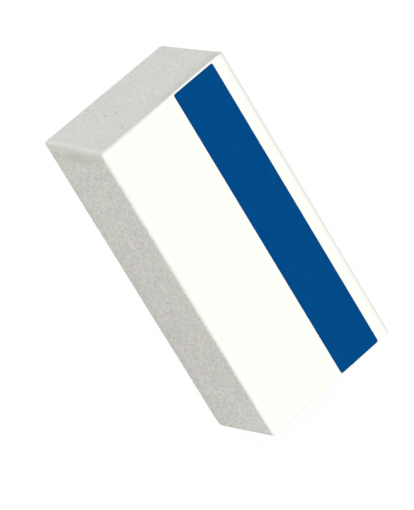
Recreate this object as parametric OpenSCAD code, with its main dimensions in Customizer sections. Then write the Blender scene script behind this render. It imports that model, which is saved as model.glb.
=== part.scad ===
// Block eraser of soft white vinyl: a drawn bar, cut to length and printed with one band of colour.
// It lies on its back with the printed face up. X runs along the length, Y across the width.

/* [Bar] */
// Width of the bar, at the printed face
block_w = 20.25; // [16:0.25:30]
// Thickness of the bar, from the back to the printed face
block_t = 13.5; // [8:0.25:20]
// How far each long side draws in towards the back
side_draft = 0.3; // [0:0.05:1]
// Radius of the two long edges of the printed face
face_edge_r = 0.7; // [0.1:0.05:1.5]
// Radius of the two long edges of the back
back_edge_r = 0.3; // [0.1:0.05:1.5]

/* [Cut] */
// Length of the block, at the back
block_l = 43; // [30:0.5:70]
// How far the first cut leans in at the printed face, at the end where the print starts
start_lean = 0.5; // [0:0.02:1.5]
// How far the second cut leans in at the printed face, at the other end
far_lean = 0.58; // [0:0.02:1.5]
// Radius of the edges that the knife leaves across the printed face and the back
cut_edge_r = 0.1; // [0.05:0.05:0.5]

/* [Print] */
// Width of the colour band
band_w = 6.35; // [2:0.05:8]
// Bare strip of flat face between the band and the rounded long edge beside it
band_margin = 1.4; // [0.2:0.05:3]
// Bare strip of flat face before the band, at the end where the print starts
start_gap = 0.05; // [0:0.05:3]
// Bare strip of flat face after the band, at the other end
far_gap = 0.1; // [0:0.05:3]
// Thickness of the ink film
ink_t = 0.03; // [0.02:0.01:0.1]

/* [Hidden] */
$fn = 64;
vinyl_white = [0.96, 0.96, 0.94];
ink_blue = [0.0, 0.29, 0.54];
// How far a profile is drawn past the block on each side, so that only its outline shapes the block
overrun = 2;
// Width of the back, and the two ends of the printed face
back_w = block_w - 2 * side_draft;
face_start = start_lean - block_l / 2;
face_far = block_l / 2 - far_lean;

function toward(p, q) = (q - p) / norm(q - p);
// Half the angle at corner p of an outline, between its neighbours a and b
function half_angle(p, a, b) = acos(toward(p, a) * toward(p, b)) / 2;
// Centre of the arc of radius r that rounds that corner
function arc_centre(p, a, b, r) =
    p + r / sin(half_angle(p, a, b)) * toward([0, 0], toward(p, a) + toward(p, b));
// Where that arc runs into the side from p to q
function arc_end(p, q, angle, r) = p + r / tan(angle) * toward(p, q);

// Flat four-sided shape, with a rounding of its own at each corner
module soft_outline(corners, radii) {
    function before(i) = corners[(i + 3) % 4];
    function after(i) = corners[(i + 1) % 4];
    function turn(i) = half_angle(corners[i], before(i), after(i));
    polygon([for (i = [0 : 3], q = [before(i), after(i)]) arc_end(corners[i], q, turn(i), radii[i])]);
    for (i = [0 : 3])
        translate(arc_centre(corners[i], before(i), after(i), radii[i]))
            circle(radii[i]);
}

// The bar as it is drawn, before it is cut
module bar() {
    section = [[-back_w / 2, 0], [back_w / 2, 0], [block_w / 2, block_t], [-block_w / 2, block_t]];
    rotate([90, 0, 90])
        linear_extrude(block_l + 2 * overrun, center = true)
            soft_outline(section, [back_edge_r, back_edge_r, face_edge_r, face_edge_r]);
}

// What the two cuts leave, seen from the long side
module cut_length() {
    side = [[-block_l / 2, 0], [block_l / 2, 0], [face_far, block_t], [face_start, block_t]];
    rotate([90, 0, 0])
        linear_extrude(block_w + 2 * overrun, center = true)
            soft_outline(side, [for (corner = side) cut_edge_r]);
}

// One block, cut from the bar
module block() {
    color(vinyl_white)
        intersection() {
            bar();
            cut_length();
        }
}

// Ink film on the flat of the printed face, from just inside one cut edge to just inside the other
module print_band() {
    band_start = face_start + cut_edge_r + start_gap;
    band_end = face_far - cut_edge_r - far_gap;
    far_side = block_w / 2 - face_edge_r - band_margin;
    color(ink_blue)
        translate([band_start, far_side - band_w, block_t])
            cube([band_end - band_start, band_w, ink_t]);
}

block();
print_band();
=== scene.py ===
# Dresses the block eraser: a white vinyl block with one blue printed band, seen from above a corner.
import math

import bpy
from mathutils import Matrix, Vector


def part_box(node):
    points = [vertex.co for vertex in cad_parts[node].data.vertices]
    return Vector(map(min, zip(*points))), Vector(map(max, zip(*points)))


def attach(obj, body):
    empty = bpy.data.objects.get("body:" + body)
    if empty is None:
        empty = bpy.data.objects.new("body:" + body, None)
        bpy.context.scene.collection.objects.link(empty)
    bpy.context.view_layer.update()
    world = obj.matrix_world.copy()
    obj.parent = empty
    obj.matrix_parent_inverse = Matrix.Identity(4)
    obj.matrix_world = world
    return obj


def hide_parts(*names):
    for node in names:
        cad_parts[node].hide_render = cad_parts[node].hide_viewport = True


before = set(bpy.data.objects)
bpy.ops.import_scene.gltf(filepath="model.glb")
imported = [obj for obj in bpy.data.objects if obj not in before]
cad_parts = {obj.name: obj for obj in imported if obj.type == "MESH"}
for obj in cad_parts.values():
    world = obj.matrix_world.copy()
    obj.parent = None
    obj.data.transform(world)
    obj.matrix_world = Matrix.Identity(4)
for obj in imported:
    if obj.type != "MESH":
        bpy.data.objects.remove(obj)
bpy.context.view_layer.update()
scene = bpy.context.scene

# Lengths are in metres
MM = 0.001
# Stands in for a length of nothing, which can't be divided by
TINY = 1e-9
SEED = 7.0
EIGHTH_TURN = math.radians(45)
WHITE = (1, 1, 1, 1)
WHITE_LEVEL = 1.0
# What Blender calls an unchanged hue
SAME_HUE = 0.5

# A pair of values says where a change begins and where it is complete. As shares, heights go from 0 at the
# back to 1 at the printed face, and widths from 0 at the near side to 1 at the far one.

# The bar: its long edges, and the sides that draw in towards the back
NEAR_FACE_EDGE = 0.7 * MM
NEAR_FACE_EDGE_END = 0.5 * MM
FAR_FACE_EDGE = 1.0 * MM
FAR_FACE_EDGE_END = 0.75 * MM
BACK_EDGE = 0.24 * MM
BACK_EDGE_END = 0.46 * MM
SIDE_DRAFT = 0.3 * MM
FAR_SIDE_DRAFT = 0.38 * MM
FAR_SIDE_SPREAD = 0.06 * MM
NEAR_SIDE_SPREAD = 0.04 * MM

# The cuts, which lean in towards the printed face and are a little askew. The far one is crisp. The first
# one is softer, most of all at the near corner of the printed face and halfway up the near upright.
START_LEAN = 0.64 * MM
START_CUT_SKEW = 0.04 * MM
FAR_LEAN = 0.58 * MM
FAR_CUT_SKEW = 0.04 * MM
CRISP_CUT = 0.12 * MM
SOFT_BACK = 0.1 * MM
SOFT_FAR_CORNER = 0.06 * MM
SOFT_NEAR_CORNER = 0.5 * MM
NEAR_CORNER_WIDTHS = (0.3, 0.65)
SOFT_UPRIGHT = 0.35 * MM
UPRIGHT_BULGE = (0.3, 1)

# The flare of the first cut just below the printed face, which grows towards the far side and is less again
# at the far corner
FLARE = 0.07 * MM
FAR_FLARE = 0.31 * MM
FLARE_START = 0.78
FLARE_WIDTHS = (0.3, 0.7)
FLARE_CORNER_WIDTHS = (0.9, 1)
FLARE_CORNER_LOSS = 0.65

# Where the knife dragged on the near upright: it rolled that edge over and hollowed the side behind it. The
# rolled edge also gets a painted highlight in its colour, most of all towards the top.
ROLL_REACH = 0.9 * MM
ROLL_DEPTH = 0.07 * MM
ROLL_DEPTH_RISE = (0.15, 0.6)
ROLL_DEPTH_FALL = (0.85, 1)
ROLL_INSET = 0.24 * MM
ROLL_INSET_RISE = (0, 0.15)
ROLL_INSET_FALL = (0.2, 1)
TOP_HIGHLIGHT_GAIN = 3.0
TOP_HIGHLIGHT_RISE = (0.45, 0.75)
HOLLOW_DEPTH = 0.06 * MM
HOLLOW_MIDDLE = 1.6 * MM
HOLLOW_END = 2.9 * MM
HOLLOW_ROOT = 1.0 * MM
HOLLOW_RISE = (0, 0.4)
HOLLOW_FALL = (0.45, 0.9)

# The corner that is worn, at the back, where the near side meets the far cut
WORN_CORNER = 0.22 * MM
WORN_CORNER_REACH = 1.5 * MM

# Unevenness of the surface: waves, except where it faces up or down, and a grain on the drawn sides
WAVE_HEIGHT = 0.02 * MM
WAVE_LENGTH = 8 * MM
WAVE_FALL = (0.3, 0.9)
GRAIN_HEIGHT = 0.003 * MM
GRAIN_SIZE = 0.5 * MM

# How squarely a place faces one way, from where it starts to count as that side to where it counts in full
FACING = (0.6, 0.95)

# How fine the meshes are, and how many of their rows go to each rounded edge
BLOCK_ROWS = (252, 76, 76)
FILM_ROWS = (208, 36, 2)
EDGE_ROWS = 6

# The ink film, which spreads a little past the printing plate, most of all at its start, and thins out and
# wanders at its border. It is dropped on the block from a little above it.
INK_SPREAD = 0.035 * MM
START_SPREAD = 0.05 * MM
INK_CORNER = 0.22 * MM
FEATHER = 0.08 * MM
BORDER_THICKNESS_SHARE = 0.3
EDGE_WANDER = 0.012 * MM
EDGE_WANDER_LENGTH = 0.6 * MM
EDGE_WANDER_REACH = 0.24 * MM
PRINT_SKEW = 0.1 * MM
RIM_WIDTH = 0.35 * MM
DROP_HEIGHT = 5 * MM

# Vinyl: its colours on the printed face, the cuts and the drawn sides, and its gloss
VINYL_WHITE = (0.918, 0.926, 0.876, 1)
VINYL_CUT = (0.887, 0.895, 0.845, 1)
VINYL_DRAWN = (0.875, 0.867, 0.809, 1)
VINYL_ROUGHNESS = 0.6
VINYL_ROUGHNESS_CHANGE = 0.06
VINYL_SPECULAR = 0.25

# Its grain and blotches, taller than wide and leaning, on the drawn sides and in part on the cuts
VINYL_GRAIN = 0.37 * MM
VINYL_GRAIN_DEPTH = 0.05 * MM
VINYL_BLOTCH = 2.0 * MM
GRAIN_STRETCH = 0.5
GRAIN_LEAN = 0.25
GRAIN_DETAIL = 1.0
GRAIN_SHADE = 0.295
BLOTCH_SHADE = 0.07
BLOTCH_FADE = 0.8
TINT_TURN = 0.11
CUT_GRAIN_SHARE = 0.47
GRAINED_FACING = (0.6, 1)
GRAIN_LOST_IN_HOLLOW = (0.3, 0.9)

# Its marks: a painted highlight on the rolled edge, painted shade in the hollow, painted shade along the
# foot of the drawn sides, and their two paler places, at the start and high up at the far end
ROLL_PAINTED_HIGHLIGHT = 0.045
HOLLOW_PAINTED_SHADE = 0.125
HOLLOW_WARMTH = 0.4
FOOT_PAINTED_SHADE = 0.055
FOOT_SHADE_HEIGHT = 3.0 * MM
PALE_SHADE = 0.04
PALE_FALL_ALONG = (-13 * MM, 4 * MM)
FAR_PALE_SHADE = 0.06
FAR_PALE_RISE_ALONG = (13 * MM, 19 * MM)
FAR_PALE_RISE_UP = (5 * MM, 10 * MM)

# Pits that the first cut opened, as leaning slits: how far across the end and how high each one lies, and
# its share of the full shade
PITS = ((-5.02 * MM, 11.1 * MM, 1.0), (-2.86 * MM, 6.74 * MM, 1.0), (-3.66 * MM, 5.57 * MM, 0.75))
PIT_WIDTH = 0.31 * MM
PIT_SLIMNESS = 0.38
PIT_LEAN = math.radians(22.7)
PIT_SHADE = 0.17
PIT_DEPTH = 0.2

# Ink: its two depths of colour, how much a blotch, a tint and the rim deepen it, its grain and its gloss
INK_BLUE = (0.0001, 0.0676, 0.2410, 1)
INK_DENSE = (0.0001, 0.0510, 0.1915, 1)
INK_BLOTCH = 1.2 * MM
INK_BLOTCH_DENSITY = 0.35
INK_BLOTCH_RISE = (-0.5, 0.6)
INK_TINT_DENSITY = 0.3
INK_TINT_RISE = (-0.2, 0.8)
RIM_DENSITY = 0.34
INK_GRAIN = 0.25 * MM
INK_GRAIN_DEPTH = 0.004 * MM
INK_ROUGHNESS = 0.55
INK_ROUGHNESS_CHANGE = 0.05
INK_SPECULAR = 0.01

# Camera, in the photograph's place
CAMERA_AIM = Vector((0.43, -2.224, 6.5)) * MM
CAMERA_DISTANCE = 510.807 * MM
CAMERA_AZIMUTH = math.radians(-45.005)
CAMERA_ELEVATION = math.radians(57.84)
CAMERA_ROLL = math.radians(-98.961)
CAMERA_LENS = 301.575
CAMERA_NEAREST = 10 * MM
CAMERA_FARTHEST = 10.0

# Light, and the floor that it falls on
SKY_LEVEL = 0.76
KEY_LEVEL = 1.185
KEY_AZIMUTH = math.radians(-55.2)
KEY_ELEVATION = math.radians(55.8)
KEY_SOFTNESS = math.radians(40)
FLOOR_BOUNCE = 0.26
FLOOR_SHADOW_SHARE = 0.06
FLOOR_SIZE = 4.0
FLOOR_DROP = 0.02 * MM

# Sizes that the frame gives. The width is the printed face's, as if its edges were sharp.
block_low, block_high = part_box("block")
band_low, band_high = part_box("print_band")
block_size = block_high - block_low
face_width = block_size.y + 2 * SIDE_DRAFT * NEAR_FACE_EDGE / block_size.z
band_size = band_high - band_low
band_middle = (band_low + band_high) / 2


class Field:
    """A value that varies over a surface. Arithmetic with fields adds the nodes that work it out."""

    def __init__(self, tree, socket):
        self.tree = tree
        self.socket = socket

    def apply(self, operation, *values):
        """One step of arithmetic, as a node."""
        node = self.tree.nodes.new("ShaderNodeMath")
        node.operation = operation
        for slot, value in zip(node.inputs, values):
            plug(self.tree, slot, value)
        return Field(self.tree, node.outputs[0])

    def __add__(self, other):
        return self.apply("ADD", self, other)

    def __radd__(self, other):
        return self.apply("ADD", other, self)

    def __sub__(self, other):
        return self.apply("SUBTRACT", self, other)

    def __rsub__(self, other):
        return self.apply("SUBTRACT", other, self)

    def __mul__(self, other):
        return self.apply("MULTIPLY", self, other)

    def __rmul__(self, other):
        return self.apply("MULTIPLY", other, self)

    def __truediv__(self, other):
        return self.apply("DIVIDE", self, other)

    def __rtruediv__(self, other):
        return self.apply("DIVIDE", other, self)

    def __neg__(self):
        return self.apply("MULTIPLY", self, -1)

    def __abs__(self):
        return self.apply("ABSOLUTE", self)

    def sign(self):
        return self.apply("SIGN", self)

    def tangent(self):
        return self.apply("TANGENT", self)

    def root(self):
        return self.apply("SQRT", self)

    def at_most(self, limit):
        return self.apply("MINIMUM", self, limit)

    def at_least(self, limit):
        return self.apply("MAXIMUM", self, limit)

    def ramp(self, start, stop, kind="LINEAR"):
        """0 before start, 1 after stop, and between them a straight or a smooth rise."""
        node = place(self.tree, "ShaderNodeMapRange", {"Value": self, "From Min": start, "From Max": stop},
                     interpolation_type=kind)
        return Field(self.tree, node.outputs["Result"])

    def smooth(self, start, stop):
        return self.ramp(start, stop, "SMOOTHSTEP")


def plug(tree, socket, value):
    """Gives an input a field, another node's output or a plain value."""
    if isinstance(value, Field):
        value = value.socket
    if isinstance(value, bpy.types.NodeSocket):
        tree.links.new(value, socket)
    else:
        socket.default_value = value


def place(tree, kind, inputs=None, **settings):
    """Adds a node, sets it up and fills its inputs, which go by name or by number."""
    node = tree.nodes.new(kind)
    for name, value in settings.items():
        setattr(node, name, value)
    for name, value in (inputs or {}).items():
        plug(tree, node.inputs[name], value)
    return node


def split(tree, vector):
    """The three parts of a vector, as fields."""
    node = place(tree, "ShaderNodeSeparateXYZ", {"Vector": vector})
    return [Field(tree, part) for part in node.outputs]


def join(tree, parts):
    """One vector from three fields."""
    node = place(tree, "ShaderNodeCombineXYZ", dict(zip("XYZ", parts)))
    return node.outputs["Vector"]


def noise(tree, vector, size, seed, detail=0.0):
    """Soft random field from -1 to 1, about, with blobs of one size."""
    node = place(tree, "ShaderNodeTexNoise", {"Vector": vector, "W": seed, "Detail": detail},
                 noise_dimensions="4D")
    plug(tree, node.inputs["Scale"], 1 / size)
    return Field(tree, node.outputs[0]) * 2 - 1


def between(first, second, share):
    """From the first value to the second as the share goes from 0 to 1."""
    return first + (second - first) * share


def past(value, limit):
    """How far a value lies past a limit on either side of zero, with its sign."""
    return (abs(value) - limit).at_least(0) * value.sign()


def length(*parts):
    """Length of a vector, or a little more than nothing where it has none."""
    return sum(part * part for part in parts).root().at_least(TINY)


def bulge(share):
    """0 at both ends of a share and 1 in its middle."""
    return share * (1 - share) * 4


def new_form(name, sizes, bases=()):
    """An empty geometry tree with named inputs: sizes, a seed, the pieces that it lies on and a finish."""
    tree = bpy.data.node_groups.new(name, "GeometryNodeTree")
    tree.is_modifier = True
    for label in (*sizes, "Seed"):
        tree.interface.new_socket(label, in_out="INPUT", socket_type="NodeSocketFloat")
    for label in bases:
        tree.interface.new_socket(label, in_out="INPUT", socket_type="NodeSocketObject")
    tree.interface.new_socket("Finish", in_out="INPUT", socket_type="NodeSocketMaterial")
    tree.interface.new_socket("Geometry", in_out="OUTPUT", socket_type="NodeSocketGeometry")
    given = tree.nodes.new("NodeGroupInput")
    fields = {label: Field(tree, given.outputs[label]) for label in (*sizes, "Seed", *bases)}
    return tree, fields, given.outputs["Finish"]


def close_form(tree, surface, finish):
    """Ends a geometry tree: smooth shading, real geometry and its material."""
    smooth = place(tree, "GeometryNodeSetShadeSmooth", {"Geometry": surface})
    real = place(tree, "GeometryNodeRealizeInstances", {"Geometry": smooth.outputs[0]})
    finished = place(tree, "GeometryNodeSetMaterial", {"Geometry": real.outputs[0], "Material": finish})
    place(tree, "NodeGroupOutput", {"Geometry": finished.outputs[0]})


def keep(tree, surface, name, field):
    """Stores a field on the surface, where later steps and the material can read it."""
    node = place(tree, "GeometryNodeStoreNamedAttribute",
                 {"Geometry": surface, "Name": name, "Value": field}, data_type="FLOAT", domain="POINT")
    return node.outputs[0]


def kept(tree, name):
    """A field that was stored on the surface before."""
    node = place(tree, "GeometryNodeInputNamedAttribute", {"Name": name}, data_type="FLOAT")
    return Field(tree, node.outputs[0])


def grid_box(tree, rows):
    """A box of one unit each way, with that many rows of faces along X, Y and Z, and its position split."""
    counts = {f"Vertices {axis}": count + 1 for axis, count in zip("XYZ", rows)}
    box = place(tree, "GeometryNodeMeshCube", counts)
    here = tree.nodes.new("GeometryNodeInputPosition").outputs[0]
    return box.outputs["Mesh"], split(tree, here)


def spread_rows(unit, half, radius, rows):
    """Where a box's even rows go: EDGE_ROWS to the rounding of each edge, the rest to the flat between."""
    share = abs(unit) * 2
    edge_start = 1 - 2 * EDGE_ROWS / rows
    flat = share.ramp(0, edge_start) * (half - radius)
    turn = share.ramp(edge_start, 1) * EIGHTH_TURN
    return (flat + turn.tangent() * radius) * unit.sign()


def round_edges(point, halves, long_radius, cut_radius):
    """Rounds a box's point: long edges by one radius, the edges of both ends by another, no larger one."""
    x, y, z = point
    out_y = past(y, halves[1] - long_radius)
    out_z = past(z, halves[2] - long_radius)
    reach = length(out_y, out_z)
    out = abs(out_y).at_least(abs(out_z))
    beyond = past(x, halves[0] - cut_radius)
    rim = (out - long_radius + cut_radius).at_least(0)
    turned = cut_radius / length(beyond, rim)
    pull = (out - rim + rim * turned) / reach
    return x - beyond + beyond * turned, y - out_y + out_y * pull, z - out_z + out_z * pull


def edge_radii(size, along, across, up):
    """Radius of the long edges and of the cuts' edges. Both change along the block and around it."""
    mid_height = bulge(up).smooth(*UPRIGHT_BULGE)
    soft_upright = (1 - along) * (1 - across) * mid_height * size["Soft upright"]
    near_face_edge = between(size["Near face edge"], size["Near face edge end"], along)
    far_face_edge = between(size["Far face edge"], size["Far face edge end"], along)
    face_edge = between(near_face_edge, far_face_edge, across)
    back_edge = between(size["Back edge"], size["Back edge end"], along)
    near_corner = 1 - across.smooth(*NEAR_CORNER_WIDTHS)
    soft_face = size["Soft far corner"] + near_corner * size["Soft near corner"]
    soft_cut = (1 - along) * between(size["Soft back"], soft_face, up)
    long_radius = between(back_edge, face_edge, up) + soft_upright
    cut_radius = size["Crisp cut"] + soft_cut + soft_upright
    return long_radius, cut_radius


def drag_marks(size, from_end, from_side, rise):
    """Where the knife rolled the near upright over, and where it hollowed the side behind it, up to 1."""
    rolled = (1 - from_side.ramp(0, size["Roll reach"])) * (1 - from_end.smooth(0, size["Hollow middle"]))
    hollow = from_end.smooth(0, size["Hollow middle"]) * (1 - from_side.smooth(0, size["Hollow root"]))
    hollow = hollow * (1 - from_end.smooth(size["Hollow middle"], size["Hollow end"]))
    hollow = hollow * rise.smooth(*HOLLOW_RISE) * (1 - rise.smooth(*HOLLOW_FALL))
    return rolled, hollow


def flare_out(size, along, across, rise):
    """How far the first cut stands out just below the printed face."""
    flare = rise.ramp(size["Flare start"], 1)
    full = between(size["Flare"], size["Far flare"], across.smooth(*FLARE_WIDTHS))
    flare = flare * flare * (1 - along) * full
    return flare * (1 - across.smooth(*FLARE_CORNER_WIDTHS) * FLARE_CORNER_LOSS)


def block_form(sizes):
    """Tree of the block: a drawn bar with soft long edges, cut by a leaning knife and worn at one corner."""
    tree, size, finish = new_form("block form", sizes)
    box, units = grid_box(tree, BLOCK_ROWS)
    halves = [size[side] / 2 for side in ("Length", "Width", "Thickness")]
    along, across, up = [unit + 0.5 for unit in units]

    long_radius, cut_radius = edge_radii(size, along, across, up)
    radii = (cut_radius, long_radius, long_radius)
    x, y, z = [spread_rows(*row) for row in zip(units, halves, radii, BLOCK_ROWS)]
    from_corner = length(x - halves[0], y + halves[1], z + halves[2])
    worn = (1 - from_corner.smooth(0, size["Worn corner reach"])) * size["Worn corner"]
    x, y, z = round_edges((x, y, z), halves, long_radius + worn, cut_radius + worn)

    rise = z / size["Thickness"] + 0.5
    rolled, hollow = drag_marks(size, x + halves[0], y + halves[1], rise)
    # Of these marks, the second lifts the rolled edge's colour as a painted highlight, and the last darkens
    # the foot of the drawn sides as painted shade
    marks = {
        "rolled": rolled,
        "polished": rolled * between(1, TOP_HIGHLIGHT_GAIN, rise.smooth(*TOP_HIGHLIGHT_RISE)),
        "hollow": hollow,
        "soiled": 1 - (z + halves[2]).smooth(0, size["Foot shade height"])}
    for name, mark in marks.items():
        box = keep(tree, box, name, mark)

    roll_depth = rolled * rise.ramp(*ROLL_DEPTH_RISE) * (1 - rise.smooth(*ROLL_DEPTH_FALL))
    x = x * (1 - rise * between(size["Start lean"], size["Far lean"], along) / halves[0])
    x = x + roll_depth * size["Roll depth"] - flare_out(size, along, across, rise)
    x = x - (1 - along) * across * rise * size["Start cut skew"]
    x = x + along * (1 - across) * size["Far cut skew"]
    roll_inset = rolled * rise.smooth(*ROLL_INSET_RISE) * (1 - rise.ramp(*ROLL_INSET_FALL))
    y = y * (1 - (1 - rise) * between(size["Side draft"], size["Far side draft"], across) / halves[1])
    y = y + roll_inset * size["Roll inset"] + hollow * size["Hollow depth"]
    y = y + across * size["Far side spread"] - along * (1 - across) * rise * size["Near side spread"]
    shaped = place(tree, "GeometryNodeSetPosition",
                   {"Geometry": box, "Position": join(tree, (x, y, z + halves[2]))})
    close_form(tree, roughen(tree, shaped.outputs[0], size), finish)
    return tree


def roughen(tree, shaped, size):
    """Gives the block's shape its slow waves and fine grain, and stores which way each place faces."""
    facing = tree.nodes.new("GeometryNodeInputNormal").outputs[0]
    lengthwise, sideways, upward = split(tree, facing)
    surface = keep(tree, shaped, "drawn_side", abs(sideways).smooth(*FACING))
    surface = keep(tree, surface, "cut_end", abs(lengthwise).smooth(*FACING))
    here = tree.nodes.new("GeometryNodeInputPosition").outputs[0]
    wave = noise(tree, here, size["Wave length"], size["Seed"]) * size["Wave height"]
    grain = noise(tree, here, size["Grain size"], size["Seed"]) * size["Grain height"]
    grained = kept(tree, "drawn_side") * (1 - kept(tree, "hollow"))
    height = wave * (1 - abs(upward).smooth(*WAVE_FALL)) + grain * grained
    outward = place(tree, "ShaderNodeVectorMath", {0: facing}, operation="SCALE")
    plug(tree, outward.inputs["Scale"], height)
    moved = place(tree, "GeometryNodeSetPosition", {"Geometry": surface, "Offset": outward.outputs[0]})
    return moved.outputs[0]


def film_form(sizes):
    """Tree of the ink film: round at its corners, thin and uneven at its border, and bent over the block."""
    tree, size, finish = new_form("ink film form", sizes, bases=("Block",))
    box, units = grid_box(tree, FILM_ROWS)
    half_x = size["Length"] / 2
    half_y = size["Width"] / 2
    x = spread_rows(units[0], half_x, size["Feather"], FILM_ROWS[0])
    y = spread_rows(units[1], half_y, size["Feather"], FILM_ROWS[1])
    inset = (half_x - abs(x)).at_most(half_y - abs(y))
    box = keep(tree, box, "rim", 1 - inset.smooth(0, size["Rim width"]))
    near_edge = 1 - inset.ramp(0, size["Edge wander reach"])
    rise = (units[2] + 0.5) * between(BORDER_THICKNESS_SHARE, 1, inset.smooth(0, size["Feather"]))

    out_x = past(x, half_x - size["Corner"])
    out_y = past(y, half_y - size["Corner"])
    pull = abs(out_x).at_least(abs(out_y)) / length(out_x, out_y)
    x = x - out_x + out_x * pull
    y = y - out_y + out_y * pull
    flat = join(tree, (x, y, 0.0))
    wander_x, wander_y = [
        noise(tree, flat, size["Edge wander length"], seed) * near_edge * size["Edge wander"]
        for seed in (size["Seed"], size["Seed"] + 1)]
    askew = units[0] * size["Skew"]
    x = x + wander_x + size["Middle X"]
    y = y + wander_y + size["Middle Y"] + askew

    block = place(tree, "GeometryNodeObjectInfo", {"Object": size["Block"]}, transform_space="RELATIVE")
    landed = place(tree, "GeometryNodeRaycast", {
        "Target Geometry": block.outputs["Geometry"], "Ray Direction": (0, 0, -1),
        "Source Position": join(tree, (x, y, size["Drop height"])), "Ray Length": size["Drop height"]})
    z = split(tree, landed.outputs["Hit Position"])[2] + rise * size["Thickness"]
    surface = place(tree, "GeometryNodeSetPosition", {"Geometry": box, "Position": join(tree, (x, y, z))})
    close_form(tree, surface.outputs[0], finish)
    return tree


def grow(name, form, inputs):
    """Runs a tree once and keeps what it makes as a plain mesh."""
    piece = bpy.data.objects.new(name, bpy.data.meshes.new(name))
    scene.collection.objects.link(piece)
    modifier = piece.modifiers.new("form", "NODES")
    modifier.node_group = form
    for socket in form.interface.items_tree:
        if socket.in_out == "INPUT":
            modifier[socket.identifier] = inputs[socket.name]
    depsgraph = bpy.context.evaluated_depsgraph_get()
    mesh = bpy.data.meshes.new_from_object(
        piece.evaluated_get(depsgraph), preserve_all_data_layers=True, depsgraph=depsgraph)
    piece.modifiers.remove(modifier)
    mesh.materials.clear()
    mesh.materials.append(inputs["Finish"])
    piece.data = mesh
    return piece


def surface_grain():
    """Shader group: the fine grain of the block's surface, which shows in the vinyl and through the ink."""
    tree = bpy.data.node_groups.new("surface grain", "ShaderNodeTree")
    tree.interface.new_socket("Vector", in_out="INPUT", socket_type="NodeSocketVector")
    for label in ("Grain size", "Blotch size"):
        tree.interface.new_socket(label, in_out="INPUT", socket_type="NodeSocketFloat")
    for label in ("Grain", "Blotch", "Tint"):
        tree.interface.new_socket(label, in_out="OUTPUT", socket_type="NodeSocketFloat")
    given = tree.nodes.new("NodeGroupInput")
    x, y, z = split(tree, given.outputs["Vector"])
    here = join(tree, (x + z * GRAIN_LEAN, y + z * GRAIN_LEAN, z * GRAIN_STRETCH))
    grain_size = Field(tree, given.outputs["Grain size"])
    blotch_size = Field(tree, given.outputs["Blotch size"])
    place(tree, "NodeGroupOutput", {
        "Grain": noise(tree, here, grain_size, SEED, detail=GRAIN_DETAIL),
        "Blotch": noise(tree, here, blotch_size, SEED, detail=GRAIN_DETAIL),
        "Tint": noise(tree, here, blotch_size, SEED + 1, detail=GRAIN_DETAIL)})
    return tree


def new_finish(name):
    """A new material: itself, its tree, its shader and the place on the piece."""
    finish = bpy.data.materials.new(name)
    finish.use_nodes = True
    tree = finish.node_tree
    here = tree.nodes.new("ShaderNodeTexCoord").outputs["Object"]
    return finish, tree, tree.nodes["Principled BSDF"], here


def grain_fields(tree, here, grain_group, grain_size, blotch_size):
    """The grain, the blotches and the tint that the shared group gives, at this finish's own sizes."""
    group = place(tree, "ShaderNodeGroup", node_tree=grain_group)
    for label, value in (("Vector", here), ("Grain size", grain_size), ("Blotch size", blotch_size)):
        plug(tree, group.inputs[label], value)
    return [Field(tree, group.outputs[label]) for label in ("Grain", "Blotch", "Tint")]


def set_relief(tree, shader, height, depth):
    """Gives a shader the relief of a field, in which a height of 1 is one depth."""
    bump = place(tree, "ShaderNodeBump", {"Height": height, "Distance": depth, "Strength": 1.0})
    plug(tree, shader.inputs["Normal"], bump.outputs[0])


def stored(tree, name):
    """A field that the piece's own mesh carries."""
    node = place(tree, "ShaderNodeAttribute", attribute_name=name)
    return Field(tree, node.outputs["Fac"])


def blend_colours(tree, share, first, second):
    """The first colour where the share is 0, and the second where it is 1."""
    node = place(tree, "ShaderNodeMixRGB", {"Fac": share, "Color1": first, "Color2": second})
    return node.outputs[0]


def pit_marks(tree, here, cut_end):
    """Up to 1 in the middle of each small pit in the first cut, and 0 away from them."""
    x, y, z = split(tree, here)
    first_cut = cut_end * (-x).sign().at_least(0)
    marks = []
    for across, height, share in PITS:
        aside = (y - across) * math.cos(PIT_LEAN) + (z - height) * math.sin(PIT_LEAN)
        lengthwise = (z - height) * math.cos(PIT_LEAN) - (y - across) * math.sin(PIT_LEAN)
        marks.append((1 - length(aside, lengthwise * PIT_SLIMNESS).smooth(0, PIT_WIDTH)) * share)
    return sum(marks) * first_cut


def paler_places(tree, here, rolled):
    """How much paler a drawn side is towards its start, and high up at its far end."""
    x, y, z = split(tree, here)
    start = (1 - x.smooth(*PALE_FALL_ALONG)) * (1 - rolled)
    far_top = x.smooth(*FAR_PALE_RISE_ALONG) * z.smooth(*FAR_PALE_RISE_UP)
    return start * PALE_SHADE + far_top * FAR_PALE_SHADE


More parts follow.
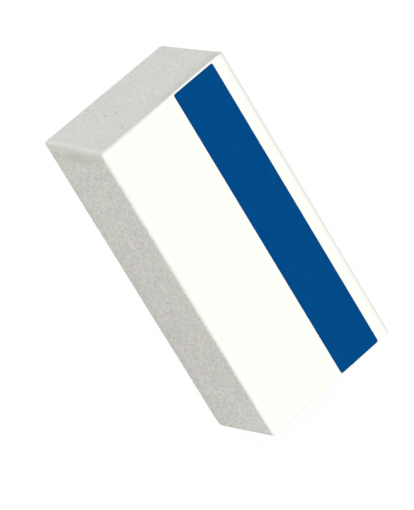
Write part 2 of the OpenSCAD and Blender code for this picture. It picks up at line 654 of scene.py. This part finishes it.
def vinyl_finish(grain_group):
    """White vinyl: smooth on the printed face, grained on the drawn sides and the cuts, with its marks and
    painted highlight and shade.
    """
    finish, tree, shader, here = new_finish("white vinyl")
    grain, blotch, tint = grain_fields(tree, here, grain_group, VINYL_GRAIN, VINYL_BLOTCH)
    drawn_side = stored(tree, "drawn_side")
    cut_end = stored(tree, "cut_end")
    hollow = stored(tree, "hollow")
    rolled = stored(tree, "rolled")
    pits = pit_marks(tree, here, cut_end)
    grained = drawn_side.smooth(*GRAINED_FACING) + cut_end.smooth(*GRAINED_FACING) * CUT_GRAIN_SHARE
    grained = grained * (1 - rolled) * (1 - hollow.smooth(*GRAIN_LOST_IN_HOLLOW))

    plain = blend_colours(tree, cut_end, VINYL_WHITE, VINYL_CUT)
    plain = blend_colours(tree, drawn_side, plain, VINYL_DRAWN)
    shade = grained * (grain * GRAIN_SHADE + blotch * BLOTCH_SHADE)
    # Painted highlight on the rolled edge, and painted shade in the hollow
    shade = shade + stored(tree, "polished") * cut_end * ROLL_PAINTED_HIGHLIGHT - hollow * HOLLOW_PAINTED_SHADE
    paler = paler_places(tree, here, rolled)
    # Painted shade along the foot of the drawn sides, darker towards the floor
    shade = shade + drawn_side * (paler - stored(tree, "soiled") * FOOT_PAINTED_SHADE)
    shade = shade - pits * PIT_SHADE
    depth_of_colour = 1 + grained * blotch * BLOTCH_FADE + hollow * HOLLOW_WARMTH
    uneven = place(tree, "ShaderNodeHueSaturation", {
        "Hue": SAME_HUE + grained * tint * TINT_TURN, "Saturation": depth_of_colour,
        "Value": 1 + shade, "Color": plain})
    plug(tree, shader.inputs["Base Color"], uneven.outputs[0])
    plug(tree, shader.inputs["Roughness"], VINYL_ROUGHNESS + grain * VINYL_ROUGHNESS_CHANGE)
    shader.inputs["Specular IOR Level"].default_value = VINYL_SPECULAR
    set_relief(tree, shader, grain * grained - pits * PIT_DEPTH, VINYL_GRAIN_DEPTH)
    return finish


def ink_finish(grain_group):
    """Blue ink: faintly mottled, and denser along its rim."""
    finish, tree, shader, here = new_finish("blue ink")
    grain, blotch, tint = grain_fields(tree, here, grain_group, INK_GRAIN, INK_BLOTCH)
    density = blotch.smooth(*INK_BLOTCH_RISE) * INK_BLOTCH_DENSITY
    density = density + tint.smooth(*INK_TINT_RISE) * INK_TINT_DENSITY
    density = density + stored(tree, "rim") * RIM_DENSITY
    plug(tree, shader.inputs["Base Color"], blend_colours(tree, density, INK_BLUE, INK_DENSE))
    plug(tree, shader.inputs["Roughness"], INK_ROUGHNESS + grain * INK_ROUGHNESS_CHANGE)
    shader.inputs["Specular IOR Level"].default_value = INK_SPECULAR
    set_relief(tree, shader, grain, INK_GRAIN_DEPTH)
    return finish


def seen_directly(tree):
    """1 for what the camera, a reflection or a glass shows, and 0 for what lights the object."""
    path = tree.nodes.new("ShaderNodeLightPath")
    rays = [Field(tree, path.outputs[f"Is {kind} Ray"]) for kind in ("Camera", "Glossy", "Transmission")]
    return rays[0].at_least(rays[1]).at_least(rays[2])


def blend_shaders(tree, share, first, second):
    """The first shader where the share is 0, and the second where it is 1."""
    return place(tree, "ShaderNodeMixShader", {0: share, 1: first.outputs[0], 2: second.outputs[0]})


def floor_finish():
    """A floor that shows white with a faint shadow, and that throws a plain grey's light on the object."""
    finish = bpy.data.materials.new("pale floor")
    finish.use_nodes = True
    tree = finish.node_tree
    tree.nodes.clear()
    bounce = place(tree, "ShaderNodeBsdfDiffuse", {"Color": (FLOOR_BOUNCE, FLOOR_BOUNCE, FLOOR_BOUNCE, 1)})
    shadow = place(tree, "ShaderNodeBsdfDiffuse", {"Color": WHITE})
    white = place(tree, "ShaderNodeEmission", {"Color": WHITE, "Strength": WHITE_LEVEL})
    shown = blend_shaders(tree, FLOOR_SHADOW_SHARE, white, shadow)
    mixed = blend_shaders(tree, seen_directly(tree), bounce, shown)
    place(tree, "ShaderNodeOutputMaterial", {"Surface": mixed.outputs[0]})
    return finish


def lay_floor():
    """Lays the floor just below the block."""
    half = FLOOR_SIZE / 2
    corners = [(-half, -half, 0), (half, -half, 0), (half, half, 0), (-half, half, 0)]
    mesh = bpy.data.meshes.new("floor")
    mesh.from_pydata(corners, [], [(0, 1, 2, 3)])
    mesh.materials.append(floor_finish())
    floor = bpy.data.objects.new("floor", mesh)
    floor.location.z = -FLOOR_DROP
    scene.collection.objects.link(floor)


def from_angles(azimuth, elevation):
    """Direction towards an azimuth, which is 0 in front and turns towards +X, and an elevation."""
    return Vector((math.sin(azimuth) * math.cos(elevation), -math.cos(azimuth) * math.cos(elevation),
                   math.sin(elevation)))


def set_light():
    """A pale sky that shows white, and one broad soft lamp high above the near corner of the start."""
    world = bpy.data.worlds.new("studio")
    scene.world = world
    world.use_nodes = True
    tree = world.node_tree
    tree.nodes.clear()
    sky = place(tree, "ShaderNodeBackground", {"Color": WHITE, "Strength": SKY_LEVEL})
    white = place(tree, "ShaderNodeBackground", {"Color": WHITE, "Strength": WHITE_LEVEL})
    mixed = blend_shaders(tree, seen_directly(tree), sky, white)
    place(tree, "ShaderNodeOutputWorld", {"Surface": mixed.outputs[0]})

    lamp = bpy.data.lights.new("soft key", "SUN")
    lamp.energy = KEY_LEVEL
    lamp.angle = KEY_SOFTNESS
    key = bpy.data.objects.new("soft key", lamp)
    scene.collection.objects.link(key)
    towards = from_angles(KEY_AZIMUTH, KEY_ELEVATION)
    key.location = towards
    key.rotation_euler = (-towards).to_track_quat("-Z", "Y").to_euler()


def set_camera():
    """Puts the camera in the photograph's place, rolled as that one was."""
    lens = bpy.data.cameras.new("camera")
    lens.lens = CAMERA_LENS
    lens.clip_start = CAMERA_NEAREST
    lens.clip_end = CAMERA_FARTHEST
    camera = bpy.data.objects.new("camera", lens)
    scene.collection.objects.link(camera)
    back = from_angles(CAMERA_AZIMUTH, CAMERA_ELEVATION)
    level_right = Vector((0, 0, 1)).cross(back).normalized()
    level_up = back.cross(level_right)
    up = level_up * math.cos(CAMERA_ROLL) + level_right * math.sin(CAMERA_ROLL)
    right = up.cross(back)
    turn = Matrix((right, up, back)).transposed().to_4x4()
    camera.matrix_world = Matrix.Translation(CAMERA_AIM + back * CAMERA_DISTANCE) @ turn
    scene.camera = camera


def make_block(finish):
    """The vinyl block, which takes the place of the CAD's block."""
    sizes = {
        "Length": block_size.x, "Width": face_width, "Thickness": block_size.z,
        "Near face edge": NEAR_FACE_EDGE, "Near face edge end": NEAR_FACE_EDGE_END,
        "Far face edge": FAR_FACE_EDGE, "Far face edge end": FAR_FACE_EDGE_END,
        "Back edge": BACK_EDGE, "Back edge end": BACK_EDGE_END,
        "Side draft": SIDE_DRAFT, "Far side draft": FAR_SIDE_DRAFT,
        "Far side spread": FAR_SIDE_SPREAD, "Near side spread": NEAR_SIDE_SPREAD,
        "Start lean": START_LEAN, "Start cut skew": START_CUT_SKEW,
        "Far lean": FAR_LEAN, "Far cut skew": FAR_CUT_SKEW,
        "Crisp cut": CRISP_CUT, "Soft back": SOFT_BACK, "Soft far corner": SOFT_FAR_CORNER,
        "Soft near corner": SOFT_NEAR_CORNER, "Soft upright": SOFT_UPRIGHT,
        "Flare": FLARE, "Far flare": FAR_FLARE, "Flare start": FLARE_START,
        "Roll reach": ROLL_REACH, "Roll depth": ROLL_DEPTH, "Roll inset": ROLL_INSET,
        "Hollow depth": HOLLOW_DEPTH, "Hollow middle": HOLLOW_MIDDLE,
        "Hollow end": HOLLOW_END, "Hollow root": HOLLOW_ROOT,
        # The height over which the painted shade at the foot fades out
        "Worn corner": WORN_CORNER, "Worn corner reach": WORN_CORNER_REACH, "Foot shade height": FOOT_SHADE_HEIGHT,
        "Wave height": WAVE_HEIGHT, "Wave length": WAVE_LENGTH,
        "Grain height": GRAIN_HEIGHT, "Grain size": GRAIN_SIZE}
    block = grow("vinyl_block", block_form(sizes), {**sizes, "Seed": SEED, "Finish": finish})
    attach(block, "root")
    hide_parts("block")
    return block


def make_film(finish, block):
    """The ink film, which lies on the vinyl block and takes the place of the CAD's print band."""
    sizes = {
        "Length": band_size.x + 2 * INK_SPREAD + START_SPREAD, "Width": band_size.y + 2 * INK_SPREAD,
        "Thickness": band_size.z, "Corner": INK_CORNER, "Feather": FEATHER,
        "Edge wander": EDGE_WANDER, "Edge wander length": EDGE_WANDER_LENGTH,
        "Edge wander reach": EDGE_WANDER_REACH, "Skew": PRINT_SKEW, "Rim width": RIM_WIDTH,
        "Middle X": band_middle.x - START_SPREAD / 2, "Middle Y": band_middle.y,
        "Drop height": band_low.z + DROP_HEIGHT}
    film = grow("ink_film", film_form(sizes), {**sizes, "Block": block, "Seed": SEED, "Finish": finish})
    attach(film, "root")
    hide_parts("print_band")


scene.view_settings.view_transform = "Standard"
set_camera()
set_light()
lay_floor()
grain_group = surface_grain()
block = make_block(vinyl_finish(grain_group))
make_film(ink_finish(grain_group), block)
